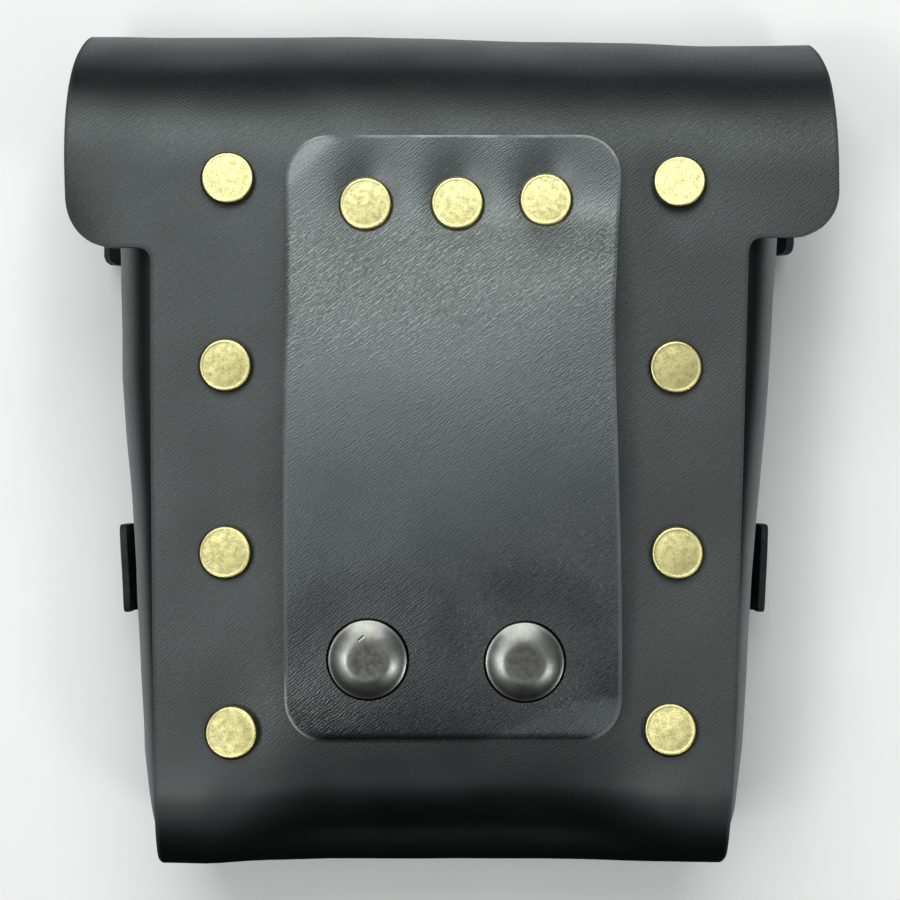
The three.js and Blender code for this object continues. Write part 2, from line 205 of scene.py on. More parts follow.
# %% [markdown]
# ## Table top and room
# The table is a matt white sheet. What the camera sees of it stays white. What the leather mirrors of it
# is set apart from that, by asking whether a ray is a mirrored one: near the pouch it is almost black,
# as if shaded, farther off it is pale, and beyond the top it is dimmer and bluer. The room is a sky that
# is bright overhead, brighter at the left than at the right, faint at the sides and dark at the horizon.

# %% Table top and room
paper = Finish("matt white table")
paper_place = paper.node("TexCoord", {}, {}, out="Object")
paper_x = paper.node("SeparateXYZ", {}, {"Vector": paper_place}, out="X")
paper_y = paper.node("SeparateXYZ", {}, {"Vector": paper_place}, out="Y")
mirrored = paper.node("LightPath", {}, {}, out="Is Glossy Ray")
PALE, BLUISH, SHADED = grey(0.92, (0.98, 0.97, 1.04)), grey(0.66, (0.9, 0.95, 1.15)), grey(0.005)
near = (paper_x * paper_x).between(0.040, 0.010)
near = near * paper_y.between(0.18, 0.10) * paper_y.between(-0.10, -0.08)
far = paper.mix(paper_y.between(0.10, 0.25), PALE, BLUISH)
shade = paper.mix(near, SHADED, far)
white = paper.mix(paper.noise(paper_place, 40, 4).between(0.2, 0.8), grey(0.93), grey(0.96))
table.materials.append(paper.done({
    "Base Color": paper.mix(mirrored, white, shade), "Roughness": 0.9, "Specular IOR Level": 0.1,
}))

HORIZON, HIGH, SIDES = (0.004, 0.0045, 0.005, 1), (0.05, 0.051, 0.052, 1), (0.32, 0.325, 0.33, 1)
OVER_LEFT, OVER_RIGHT = (1.30, 1.335, 1.36, 1), (0.70, 0.72, 0.735, 1)
room = Finish("room", bpy.data.worlds)
way = room.node("TexCoord", {}, {}, out="Generated")
up = room.node("SeparateXYZ", {}, {"Vector": way}, out="Z")
ahead = room.node("SeparateXYZ", {}, {"Vector": way}, out="Y")
aside = room.node("SeparateXYZ", {}, {"Vector": way}, out="X")
dim = room.mix(up.between(0.45, 0.75), HORIZON, HIGH)
dim = room.mix((aside * aside).between(0.02, 0.10) * up.between(0.6, 0.8), dim, SIDES)
over = room.mix(aside.between(-0.35, 0.35), OVER_LEFT, OVER_RIGHT)
sky = room.mix(up.between(0.85, 0.97) * ahead.between(-0.5, 0.15), dim, over)
room.node("OutputWorld", {}, {"Surface": room.node("Background", {}, {"Color": sky})})
scene.world = room.material
print("room:", scene.world.name)

# %% [markdown]
# ## Leather
# Grain leather is dyed through and rolled under heat, which leaves fine rows of grain that run one way.
# Stretched noise alone looks like fur here and even noise like worms, so the rows are a sine wave across
# that way, which a slow noise sways and a fine one breaks up. All this lies on a map of the flat hide,
# so that it bends with the leather. Where the hide was cut, the edge is worn: a value on each piece
# holds the distance to the cut in millimetres. The back of the hide is rough, the cut edge fibrous.

# %% Leather
COOL = (0.86, 1.0, 1.14)
MIRROR_TINT = (0.91, 1.0, 0.99, 1)
GRAIN_WAY, GRAIN_STRETCH = math.radians(38), 2.2


def grain_leather(name, shine, dull, gloss, fine, crease, worn):
    """Dyed leather. Shine is its roughness, dull what the valleys of the grain add to it, gloss its index
    of refraction, fine the rows a centimetre, crease their depth in metres, worn the tone of rubbed
    edges. The height of the grain is 0.3 of the sine, 0.4 of the breaks and 0.3."""
    hide = Finish(name)
    flat = hide.node("UVMap", {"uv_map": "flat"}, {})
    rim = hide.node("Attribute", {"attribute_name": "rim"}, {}, out="Fac")
    wear = hide.node("Attribute", {"attribute_name": "wear"}, {}, out="Fac")
    grain = hide.node("Attribute", {"attribute_name": "grain"}, {}, out="Fac")
    along = hide.node(
        "Mapping", {"vector_type": "TEXTURE"},
        {"Vector": flat, "Rotation": (0, 0, GRAIN_WAY), "Scale": (GRAIN_STRETCH, 1, 1)},
    )
    across = hide.node("SeparateXYZ", {}, {"Vector": along}, out="Y")
    sway = hide.noise(along, 9, 2, 0.5)
    breaks = hide.noise(along, fine * 2, 1, 0.5).between(0.35, 0.65)
    rows = across.math("SINE", across * (fine * 2 * math.pi) + sway * 16)
    creases = rows * 0.3 + 0.3 + breaks * 0.4
    pores = hide.noise(flat, 42, 2, 0.5).between(0.25, 0.75)
    clouds = hide.noise(flat, 0.7, 4, 0.55).between(0.3, 0.7)
    specks = hide.noise(flat, 26, 1, 0.5).between(0.76, 0.82)
    scuffs = hide.noise(flat, 5, 5, 0.65)
    rubbed = (rim + scuffs * 0.9).between(1.05, 0.35) * wear
    dye_and_shade = hide.mix(clouds, grey(0.0008, COOL), grey(0.0016, COOL))
    # Painted shade: the grain's valleys are painted darker and its ridges paler, as light and shade fall
    # on it.
    dye_and_shade = hide.mix(creases * 0.35, dye_and_shade, grey(0.003, COOL))
    dye_and_shade = hide.mix(specks * 0.5, dye_and_shade, grey(0.16, COOL))
    dye_and_shade = hide.mix(rubbed * 0.8, dye_and_shade, grey(worn))
    height = (creases * 0.8 + pores * 0.2) * grain
    blunt = rim.between(0.9, 0.2) * (1 - wear) * 0.3
    return hide.done({
        "Base Color": dye_and_shade,
        "Roughness": shine + (1 - creases) * grain * dull + (clouds - 0.5) * 0.05 + rubbed * 0.2 + blunt,
        "IOR": gloss, "Specular IOR Level": 1.0, "Specular Tint": MIRROR_TINT,
        "Normal": hide.bump(height, crease),
    })


def flesh_side(name):
    """The matt back of a hide, with short fibres."""
    hide = Finish(name)
    flat = hide.node("UVMap", {"uv_map": "flat"}, {})
    fibres = hide.noise(flat, 30, 5, 0.7)
    patches = hide.noise(flat, 1.5, 3, 0.5).between(0.3, 0.7)
    nap = hide.mix(patches, grey(0.012, COOL), grey(0.022, COOL))
    return hide.done({
        "Base Color": hide.mix(fibres.between(0.5, 0.8), nap, grey(0.045, COOL)),
        "Roughness": 0.86, "Specular IOR Level": 0.25, "Normal": hide.bump(fibres, 0.0003),
    })


def cut_edge(name, tone):
    """The dyed edge of a cut hide, paler where it is worn."""
    hide = Finish(name)
    place = hide.node("TexCoord", {}, {}, out="Object")
    fibres = hide.noise(place, 2600, 4, 0.65)
    worn = hide.noise(place, 260, 3, 0.6).between(0.45, 0.7)
    dyed = hide.mix(fibres.between(0.35, 0.75), grey(tone * 0.5, COOL), grey(tone, COOL))
    return hide.done({
        "Base Color": hide.mix(worn * 0.6, dyed, grey(tone * 2.2)),
        "Roughness": 0.62, "Specular IOR Level": 0.35, "Normal": hide.bump(fibres, 0.00016),
    })


shell_skin = grain_leather(
    "shell leather", shine=0.41, dull=0.18, gloss=1.455, fine=17, crease=0.000036, worn=0.05
)
loop_skin = grain_leather(
    "belt loop leather", shine=0.20, dull=0.40, gloss=1.60, fine=19, crease=0.000056, worn=0.45
)
wall_skin = grain_leather(
    "side wall leather", shine=0.42, dull=0.06, gloss=1.5, fine=14, crease=0.000008, worn=0.03
)
flesh = flesh_side("flesh side")
edge = cut_edge("cut edge", tone=0.022)
print("leather finishes:", shell_skin.name, loop_skin.name, wall_skin.name)

# %% [markdown]
# ## Cutting and bending a hide
# Each leather piece starts as a flat pattern of square cells. A signed distance to the outline says
# what is inside. Points close to the outline are slid onto it, and cells that still reach outside are
# left out, so any outline gets a clean edge without thin slivers. A function then bends the flat
# points into place, and Solidify and Bevel give the hide its thickness and its rounded cut edges. The
# shapes are worked out in millimetres, with y from a line 1 mm below the middle of the part.

# %% Cutting and bending a hide
MM = 0.001
MIDDLE = 1.0


def eased(value, low, high):
    """0 at low, 1 at high, 3 t^2 - 2 t^3 between."""
    t = np.clip((value - low) / (high - low), 0, 1)
    return t * t * (3 - 2 * t)


def rounded_box(across, along, half_width, half_length, corner):
    """Signed distance to a box with round corners: outside the inner box of the corner centres it is
    the distance to that box less the radius, inside it is the nearest side."""
    a = np.abs(across) - half_width + corner
    b = np.abs(along) - half_length + corner
    return np.hypot(np.maximum(a, 0), np.maximum(b, 0)) + np.minimum(np.maximum(a, b), 0) - corner


def corners_of(grid):
    """The four corners of each cell of a grid, in turn."""
    return np.stack([grid[:-1, :-1], grid[:-1, 1:], grid[1:, 1:], grid[1:, :-1]], -1)


def cut_pattern(across, along, outline):
    """Flat points and the cells that are kept. A point within 0.71 of a cell of the outline moves
    against the outline's slope by its distance, a few times over."""
    cell, nudge = across[1] - across[0], 0.02
    u, v = np.meshgrid(across, along)
    distance = outline(u, v)
    near = np.abs(distance) < 0.71 * cell
    inside = near | (distance < 0)
    for _ in range(5):
        off = outline(u, v)
        slope_u = (outline(u + nudge, v) - outline(u - nudge, v)) / (2 * nudge)
        slope_v = (outline(u, v + nudge) - outline(u, v - nudge)) / (2 * nudge)
        step = near * off / np.maximum(slope_u**2 + slope_v**2, 0.3)
        u = u - step * slope_u
        v = v - step * slope_v
    kept = corners_of(inside).all(-1) & ~corners_of(near).all(-1)
    return u, v, kept


def facing(face, u, v):
    """Places and outward normals of a bent face: the cross product of its two slopes."""
    step = 0.05
    slope_u = face(u + step, v) - face(u - step, v)
    slope_v = face(u, v + step) - face(u, v - step)
    normal = np.cross(slope_u, slope_v)
    return face(u, v), normal / np.linalg.norm(normal, axis=-1, keepdims=True)


def new_piece(name, points, faces, node):
    """A mesh object from points in millimetres, in place of a solid of the frame."""
    mesh = bpy.data.meshes.new(name)
    mesh.from_pydata(points * MM, [], faces)
    mesh.shade_smooth()
    piece = bpy.data.objects.new(name, mesh)
    scene.collection.objects.link(piece)
    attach(piece, "root")
    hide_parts(node)
    return piece


def hide_piece(name, node, points, flat, rim, wear, grain, kept, thick, skins, round_over=0.6):
    """A leather piece from a grid of points, with its flat map in centimetres, the distance to its cut
    edge, how far that edge is rubbed and how strong the grain is. Solidify puts the flesh side behind."""
    index = np.arange(rim.size).reshape(rim.shape)
    quads = corners_of(index)[kept]
    used, quads = np.unique(quads, return_inverse=True)
    quads = quads.reshape(-1, 4)
    piece = new_piece(name, points.reshape(-1, 3)[used], quads, node)
    mesh = piece.data
    uv = mesh.uv_layers.new(name="flat")
    uv.uv.foreach_set("vector", (flat.reshape(-1, 2)[used] / 10)[quads.ravel()].astype(np.float32).ravel())
    for key, values in (("rim", rim), ("wear", wear), ("grain", grain)):
        held = mesh.attributes.new(key, "FLOAT", "POINT")
        values = np.broadcast_to(values, rim.shape)
        held.data.foreach_set("value", values.ravel()[used].astype(np.float32))
    for skin in skins:
        mesh.materials.append(skin)
    wall = piece.modifiers.new("thickness", "SOLIDIFY")
    wall.thickness = thick * MM
    wall.offset = -1
    wall.use_even_offset = True
    wall.material_offset = 1
    wall.material_offset_rim = 2
    soft = piece.modifiers.new("rounded edges", "BEVEL")
    soft.width = round_over * MM
    soft.segments = 3
    soft.limit_method = "ANGLE"
    soft.harden_normals = True
    soft.angle_limit = math.radians(50)
    print(name, "cells:", len(quads))
    return piece


def ripples(u, v, seed, length, count=9):
    """Gentle unevenness between about -1 and 1: a sum of sine waves with random ways and phases."""
    pick = np.random.default_rng(seed)
    way = pick.uniform(0, 2 * np.pi, count)
    pace = 2 * np.pi / (length * pick.uniform(0.7, 1.6, count))
    phase = pick.uniform(0, 2 * np.pi, count)
    waves = np.sin((u[..., None] * np.cos(way) + v[..., None] * np.sin(way)) * pace + phase)
    return waves.sum(-1) / np.sqrt(count)


def dent(u, v, place, width, depth):
    """A round hollow: depth times a bell curve of the distance."""
    return -depth * np.exp(-((u - place[0]) ** 2 + (v - place[1]) ** 2) / (2 * width**2))


# %% [markdown]
# ## Path of the shell
# Seen from the side, the blank runs along the front, round the two bends of the bottom, up the back,
# over the top fold and down into the flap. Straight runs and arcs describe that path, and a point is
# found from the distance walked along it, with its heading.

# %% Path of the shell
def walk(start, heading, runs):
    """A path of runs (length, turn in degrees). On a bend of k radians a millimetre the heading is
    h = h0 + k d, the first axis gains (sin h - sin h0) / k and the second loses (cos h - cos h0) / k."""
    length, turn = np.array(runs, float).T
    bend = np.radians(turn) / length
    bend = np.where(np.abs(bend) < 1e-9, 1e-9, bend)
    start_of = np.concatenate([[0], np.cumsum(length)])
    head = np.radians(heading) + np.concatenate([[0], np.cumsum(bend * length)])
    first = start[0] + np.concatenate([[0], np.cumsum(np.diff(np.sin(head)) / bend)])
    second = start[1] - np.concatenate([[0], np.cumsum(np.diff(np.cos(head)) / bend)])

    def at(s):
        leg = np.clip(np.searchsorted(start_of, s, side="right") - 1, 0, len(length) - 1)
        h = head[leg] + bend[leg] * (s - start_of[leg])
        return (
            first[leg] + (np.sin(h) - np.sin(head[leg])) / bend[leg],
            second[leg] - (np.cos(h) - np.cos(head[leg])) / bend[leg],
            h,
        )

    return at, start_of


BACK_Z, FRONT_Z, BEND_Y, BEND_R = 53.0, 4.6, -64.9, 16.0
FOLD_Y, MOUTH_Y, LEAN = 50.6, 44.3, 1.46
SHOULDER_R, SHOULDER, CROWN_R, CROWN = 27.0, 55.0, 55.0, 25.0
FLAP_BEND_Y, FLAP_BEND_R, TONGUE_RUN = -8.0, 60.0, 37.5


def arc(radius, turn):
    """A run round an arc: its length and its turn."""
    return (radius * math.radians(abs(turn)), turn)


def cosd(angle):
    """Cosine of an angle in degrees."""
    return math.cos(math.radians(angle))


def sind(angle):
    """Sine of an angle in degrees."""
    return math.sin(math.radians(angle))


fold = SHOULDER + CROWN
crown_drop = SHOULDER_R * (1 - cosd(SHOULDER)) + CROWN_R * (cosd(SHOULDER) - cosd(fold))
brow_r = (BACK_Z - crown_drop) / (1 + cosd(fold))
crown_y = FOLD_Y + SHOULDER_R * sind(SHOULDER) + CROWN_R * (sind(fold) - sind(SHOULDER))
brow_y = crown_y - brow_r * sind(fold)
shell_at, stops = walk((MOUTH_Y, FRONT_Z), 180, [
    (MOUTH_Y - BEND_Y, 0), arc(BEND_R, -90), (BACK_Z - FRONT_Z - 2 * BEND_R, 0), arc(BEND_R, -90),
    (FOLD_Y - BEND_Y, 0), arc(SHOULDER_R, -SHOULDER), arc(CROWN_R, -CROWN),
    arc(brow_r, -(180 - fold + LEAN)), (brow_y - FLAP_BEND_Y, 0), arc(FLAP_BEND_R, LEAN), (TONGUE_RUN, 0),
])
BACK, SHOULDER_AT, BROW, FLAP, END = stops[4], stops[5], stops[7], stops[8], stops[-1]


def back_at(y):
    """Distance along the blank at which the back has reached y."""
    return BACK + y - BEND_Y


def flap_at(y):
    """Distance along the blank at which the flap has come down to y."""
    return FLAP + (brow_y - y) / cosd(LEAN)


print("length of the blank, mm:", round(END, 1))

# %% [markdown]
# ## Shell
# The blank has a straight body, two wings that stand past the body along the top fold, and a tongue
# with round corners at the end of the flap. Leather that has been worn is never flat: the wings roll in
# at their hems, the crest of the fold is uneven, each rivet presses a hollow, and the bottom sags between
# the side walls. The rolls and the crest are part of the bend. The rest is added along the normals of the
# bent sheet, which keeps the hide whole. The bottom bend is smooth, and nothing goes below the table.

# %% Shell
BODY_Y = [-81, -80.2, -78, -48, -7, 38]
BODY_LEFT = [53.9, 54.9, 55.5, 55.8, 56.2, 56.3]
BODY_RIGHT = [50.6, 51.6, 52.4, 53.8, 54.8, 56.0]
WING_HALF = 73.0
CREST_X = [-73, -50, -28, 0, 28, 50, 66, 73]
CREST = [-0.5, -0.4, -0.2, -0.75, -1.5, -2.2, -2.2, -2.0]
HEMS = {-1: (36.4, 36.9, 9.4), 1: (38.25, 38.9, 8.6)}
FRONT_CORNER = 2.0
TONGUE_HALF, TONGUE_REACH, TONGUE_CORNER = 28.0, 60.0, 10.0
SHELL_THICK = 2.2
BACK_RIVETS = {
    "left_1": (-41.8, 49.0), "left_2": (-42.2, 14.1), "left_3": (-42.2, -21.0), "left_4": (-41.0, -54.7),
    "right_1": (43.0, 48.3), "right_2": (42.2, 13.8), "right_3": (42.5, -21.1), "right_4": (41.2, -54.3),
}


def either(x, left, right):
    """One value on the left of the middle and another on the right."""
    return np.where(x < 0, left, right)


def body_half(x, y):
    """Half the width of the body, read from the tables of its two edges."""
    return either(x, np.interp(y, BODY_Y, BODY_LEFT), np.interp(y, BODY_Y, BODY_RIGHT))


def joined(first, second, fillet=3.0):
    """The smaller of two distances, less (fillet - their difference)^2 / (4 fillet) where they are close,
    which rounds the inner corner between two outlines."""
    return np.minimum(first, second) - np.maximum(fillet - np.abs(first - second), 0) ** 2 / (4 * fillet)


def shell_outline(x, s):
    """The smallest of three distances: body strip, wings and tongue."""
    y = shell_at(s)[0]
    back_hem = either(x, back_at(HEMS[-1][0]), back_at(HEMS[1][0]))
    front_hem = either(x, flap_at(HEMS[-1][1]), flap_at(HEMS[1][1]))
    middle, half = (back_hem + front_hem) / 2, (front_hem - back_hem) / 2
    corner = np.where(s < middle, either(x, HEMS[-1][2], HEMS[1][2]), FRONT_CORNER)
    strip = rounded_box(x, s - front_hem / 2, body_half(x, y), front_hem / 2, 2.0)
    wing_half = WING_HALF - 0.9 * eased(s, SHOULDER_AT - 10, BROW) * eased(s, FLAP, BROW + 8)
    wings = rounded_box(x, s - middle, wing_half, half, corner)
    tongue = rounded_box(x, s - (END - TONGUE_REACH), TONGUE_HALF, TONGUE_REACH, TONGUE_CORNER)
    return np.minimum(joined(strip, wings), tongue)


def shell_face(x, s):
    """Past the body's edge the flat hide goes round an arc into the pouch, a little at the back hem and
    more at the front one; the crest of the fold stands higher at the left."""
    y, z, h = shell_at(s)
    body = body_half(x, y)
    back_roll = either(x, 22, 2) * (1 - eased(s, back_at(38), SHOULDER_AT + 20))
    front_roll = either(x, 40, 54) * eased(s, BROW, flap_at(44))
    roll = np.radians(np.maximum(np.maximum(back_roll, front_roll), 0.01)) / (WING_HALF - body)
    past = np.maximum(np.abs(x) - body, 0)
    sunk = (1 - np.cos(past * roll)) / roll
    reach = np.sign(x) * (np.abs(x) - past + np.sin(past * roll) / roll)
    rise = eased(s, SHOULDER_AT, BROW) * (1 - eased(s, BROW + 8, FLAP))
    y = y + sunk * np.sin(h) + rise * np.interp(reach, CREST_X, CREST)
    return np.stack([reach, y - MIDDLE, z - sunk * np.cos(h)], -1)


def bottom_relief(x, down):
    """The side walls hold the bottom's back bend nearly square, where it stands out by 1.5 mm at the left
    and 1.1 mm at the right. Between them nothing holds it, and it sags in by 4.5 mm."""
    fill = either(x, 1.5, 1.1) * eased(np.abs(x), 20, 49) * eased(down, 68, 80) * eased(down, 92, 80)
    sag = 4.5 * eased(np.abs(x), 47, 22) * eased(down, 50, 77) * eased(down, 89.5, 77)
    return fill - sag


def shell_relief(x, s):
    """Outward unevenness: ripples, hollows at the rivets and the relief of the bottom bend."""
    y = s - BACK + BEND_Y
    relief = 0.16 * ripples(x, y, 3, 38) + 0.05 * ripples(x, y, 4, 13)
    for name, place in BACK_RIVETS.items():
        depth = 1.0 if name == "right_1" else 0.5
        relief = relief + dent(x, y, place, 5.5, depth)
    return relief + bottom_relief(x, -y)


def shell_grain(x, s):
    """A little stronger to the right, and smooth round the bottom bend."""
    down = BACK - BEND_Y - s
    return (0.7 + 0.3 * eased(x, -20, 40)) * (1 - 0.9 * eased(down, 50, 72) * eased(down, 112, 96))


cell = 1.25
u, v, kept = cut_pattern(np.arange(-75, 75.1, cell), np.arange(-2.5, END + 3, cell), shell_outline)
points, normals = facing(shell_face, u, v)
points = points + normals * shell_relief(u, v)[..., None]
points[..., 2] = np.maximum(points[..., 2], 0)
hide_piece(
    "shell_leather", "shell", points, np.stack([u, v], -1), np.maximum(-shell_outline(u, v), 0), 0.5,
    shell_grain(u, v), kept, SHELL_THICK, [shell_skin, flesh, edge],
)

# %% [markdown]
# ## Side walls
# A side wall is one strip of thinner leather. A flange lies inside the back, the strip bulges out
# past the body's edge, and a second flange lies inside the front. At the bottom it follows the bends.

# %% Side walls
FIT, WALL_THICK, WALL_TOP, FLANGE_X = 0.3, 1.8, 49.4, 36.0
WALL_STRAIGHT = WALL_TOP - BEND_Y
BULGE_Y = [-79, -71, -59, -35, -12, 12, 46]
BULGE_LEFT = [56.3, 58.2, 59.9, 61.0, 62.4, 64.1, 64.8]
BULGE_RIGHT = [53.2, 55.6, 57.0, 58.3, 60.1, 62.4, 64.6]
WALL_HALF = (BACK_Z - FRONT_Z) / 2 - SHELL_THICK - FIT
WALL_BEND = BEND_R - SHELL_THICK - FIT
MID_Z = (BACK_Z + FRONT_Z) / 2


def back_face(y):
    """Height of the back, which drops along the arc of the top fold."""
    past = np.clip(y - FOLD_Y, 0, 26)
    return BACK_Z - SHOULDER_R + np.sqrt(SHOULDER_R**2 - past**2)


def wall_face(across, down, sign):
    """Across runs -1 to 0 along the back flange, 0 to 1 over the bulge and 1 to 2 along the front
    flange. The bulge is a half turn: sin^0.8 of it goes outwards, cos of it is the height."""
    turn = np.clip(down - WALL_STRAIGHT, 0, None) / WALL_BEND
    row = WALL_TOP - np.minimum(down, WALL_STRAIGHT) - WALL_BEND * np.sin(turn)
    seam = either(sign, np.interp(row, BODY_Y, BODY_LEFT), np.interp(row, BODY_Y, BODY_RIGHT)) - 3
    wide = either(sign, np.interp(row, BULGE_Y, BULGE_LEFT), np.interp(row, BULGE_Y, BULGE_RIGHT))
    half_turn = np.clip(across, 0, 1) * np.pi
    x = seam + (wide - seam) * np.sin(half_turn) ** 0.8
    flange = np.maximum(np.maximum(-across, across - 1), 0)
    x = x + (FLANGE_X - x) * flange
    along = np.minimum(down, WALL_STRAIGHT) - WALL_TOP + turn * BEND_R
    fill = bottom_relief(x, along) * eased(across, 0.5, 0)
    row = row - fill * np.sin(turn)
    half = WALL_HALF - WALL_BEND * (1 - np.cos(turn)) + fill * np.cos(turn)
    up = np.cos(half_turn)
    y = row + np.clip((row - 30) / (WALL_TOP - 30), 0, 1) * 5.1 * up
    tuck = 1.3 * (BACK_Z - back_face(y)) * np.maximum(up, 0)
    return np.stack([sign * x, y - MIDDLE, MID_Z + half * up - tuck], -1)


for side, sign in (("left", -1), ("right", 1)):
    bulge = (1 - np.cos(np.linspace(0, np.pi, 49))) / 2
    across = np.concatenate([np.linspace(-1, 0, 14)[:-1], bulge, np.linspace(1, 2, 14)[1:]])
    down = np.linspace(0, WALL_STRAIGHT + WALL_BEND * math.radians(75), 100)
    down = down if sign > 0 else down[::-1]
    d, a = np.meshgrid(down, across)
    points = wall_face(a, d, sign)
    steps = np.linalg.norm(np.diff(points, axis=0), axis=-1).mean(1)
    girth = np.concatenate([[0], np.cumsum(steps)])
    flat_u = np.broadcast_to(girth[:, None], d.shape)
    slope_a, slope_d = np.gradient(points, axis=0), np.gradient(points, axis=1)
    normals = np.cross(slope_d, slope_a)
    normals = normals / np.linalg.norm(normals, axis=-1, keepdims=True)
    free = np.clip(np.sin(np.clip(a, 0, 1) * np.pi), 0, 1)
    sag = free * (0.14 * ripples(flat_u, d, 20 + sign, 34) + 0.03 * ripples(flat_u, d, 24 + sign, 12))
    points = points + normals * sag[..., None]
    rim = np.minimum(np.minimum(flat_u, girth[-1] - flat_u), np.minimum(d, down.max() - d))
    hide_piece(
        f"side_wall_{side}", f"gusset_{side}", points, np.stack([flat_u, d], -1), rim, 0.3, 1.0,
        np.ones((len(across) - 1, len(down) - 1), bool), WALL_THICK, [wall_skin, flesh, edge], 0.35,
    )

# %% [markdown]
# ## Belt loop
# A patch of thick leather is riveted to the back along its top and snapped to it near its bottom. It
# bows away from the back between them, which leaves a tunnel for the belt, and it is a little twisted.
# Its side view is given as slopes, because the slope decides what the leather mirrors, and the heights
# are their sum. The three rivets pull it in, so it rises in soft ridges between them. Its top left corner
# hangs, its top right corner stands up, and its bottom edge curls down to a dark line.

# %% Belt loop
LOOP_Y = [-56, -30, 10, 25, 45, 57]
LOOP_LEFT = [30.6, 30.8, 30.7, 30.4, 30.7, 30.9]
LOOP_RIGHT = [31.8, 31.6, 30.4, 30.2, 31.6, 32.1]
SLOPE_Y = [-57, -50, -44, -37.3, -27, -15.8, -4.5, 6.7, 18, 28.3, 36.7, 41, 45, 51, 58]
SLOPE = [9.0, 8.2, 7.2, 6.4, 4.4, 1.6, -0.4, -2.0, -7.8, -15.5, -14.0, -6.0, -2.8, -1.4, -0.8]
TOP_GAP, TWIST, LOOP_HALF, LOOP_CORNER, LOOP_MID = 0.4, 10.0, 56.5, 8.0, 0.5
LOOP_RIVETS = {"left": (-15.8, 44.1), "mid": (1.3, 44.2), "right": (17.8, 44.8)}
SNAPS = {"left": (-15.3, -40.3), "right": (13.7, -40.8)}
loop_y = np.linspace(-58, 58, 465)
loop_slope = np.tan(np.radians(np.interp(loop_y, SLOPE_Y, SLOPE)))
loop_step = loop_y[1] - loop_y[0]
loop_rise = np.concatenate([[0], np.cumsum((loop_slope[1:] + loop_slope[:-1]) / 2 * loop_step)])
loop_rise = loop_rise - loop_rise[-1] + TOP_GAP


def gap_at(x, y):
    """The gap under the loop: its slope in degrees summed from the top. The loop is a little twisted,
    so towards the right the bow begins higher up."""
    twist = TWIST * eased(x, -5, 28) * eased(y, 52, 26)
    return np.interp(y - twist, loop_y, loop_rise)


def loop_outline(x, y):
    """A box with round corners whose two long edges follow their tables."""
    half = either(x, np.interp(y, LOOP_Y, LOOP_LEFT), np.interp(y, LOOP_Y, LOOP_RIGHT))
    return rounded_box(x, y - LOOP_MID, half, LOOP_HALF, LOOP_CORNER)


def loop_base(x, y):
    """Outer face of the loop before rivets, snaps and corners: the back, the gap and the thickness."""
    return BACK_Z + gap_at(x, y) + SHELL_THICK + 0.045 * ripples(x, y, 31, 26)


def pulled_in(x, y, place):
    """The hollow at a rivet of the loop: a bell curve that is longer towards the top edge."""
    tall = np.where(y > place[1], 6.0, 4.0)
    return -1.4 * np.exp(-(((x - place[0]) / 3.8) ** 2 + ((y - place[1]) / tall) ** 2) / 2)


def loop_height(x, y):
    """The bowed loop: eased steps at its two top corners, a parabola along its bottom edge, the hollows of
    the rivets, and round each snap 0.3 of the way to level."""
    height = loop_base(x, y) - 0.7 * eased(y - x, 77, 87) + 0.6 * eased(y + x, 68, 88)
    height = height - 0.5 * np.clip((-54.4 - y) / 1.6, 0, 1) ** 2
    for place in LOOP_RIVETS.values():
        height = height + pulled_in(x, y, place)
    for place in SNAPS.values():
        level = loop_base(np.array(place[0]), np.array(place[1])) - 0.1
        height = height + 0.3 * eased(np.hypot(x - place[0], y - place[1]), 19, 5) * (level - height)
    return height


def loop_face(x, y):
    """Flat x and y with the loop's height; its bow is slight, so the flat pattern isn't shortened."""
    return np.stack([x, y - MIDDLE, loop_height(x, y)], -1)


def loop_wear(x, y):
    """The top edge is rubbed pale, the right edge less, the lower left corner in patches."""
    top = eased(y, 50, 56) * (0.4 + 0.4 * eased(x, -22, -4) + 0.35 * ripples(x, y, 35, 12))
    right = eased(x, 26, 30) * (0.03 + 0.06 * ripples(x, y, 36, 14))
    corner = 0.8 * eased(-y, 41, 48) * eased(-x, 25, 28.5)
    return np.clip(top + right + corner, 0, 1)


def loop_grain(x, y):
    """Strongest where the bow is stretched below the rivets, weak above them and towards the snaps."""
    return 0.3 + 0.7 * eased(y, -12, 28) * eased(y, 50, 36)


cell = 0.9
u, v, kept = cut_pattern(np.arange(-34.2, 34.3, cell), np.arange(-58.5, 59.5, cell), loop_outline)
hide_piece(
    "belt_loop_leather", "belt_loop", loop_face(u, v), np.stack([u, v], -1),
    np.maximum(-loop_outline(u, v), 0), loop_wear(u, v), loop_grain(u, v), kept, SHELL_THICK,
    [loop_skin, flesh, edge], 0.35,
)

# %% [markdown]
# ## Front strap
# A thin strap crosses the front, dips to the panel at its two rivets and passes over the tongue. Its
# ends turn up round the sides, where they show past the body's edges.

# %% Front strap
STRAP_Y, STRAP_WIDTH, STRAP_END_Z, STRAP_DIP, STRAP_THICK = -25.7, 17.8, 17.5, 2.7, 1.5
STRAP_RIGHT, STRAP_LEFT, STRAP_R, DIP_X, DIP_TURN = 64, 66.6, 9, 37.6, 35
dip_r = STRAP_DIP / 2 / (1 - cosd(DIP_TURN))
strap_end = STRAP_END_Z - STRAP_DIP - STRAP_R
strap_at, strap_stops = walk((STRAP_RIGHT, STRAP_END_Z), -90, [
    (strap_end, 0), arc(STRAP_R, -90), (STRAP_RIGHT - STRAP_R - DIP_X, 0),
    arc(dip_r, DIP_TURN), arc(dip_r, -DIP_TURN), (2 * (DIP_X - 2 * dip_r * sind(DIP_TURN)), 0),
    arc(dip_r, -DIP_TURN), arc(dip_r, DIP_TURN), (STRAP_LEFT - STRAP_R - DIP_X, 0),
    arc(STRAP_R, -90), (strap_end, 0),
])
STRAP_LONG = strap_stops[-1]
print("length of the strap, mm:", round(STRAP_LONG, 1))


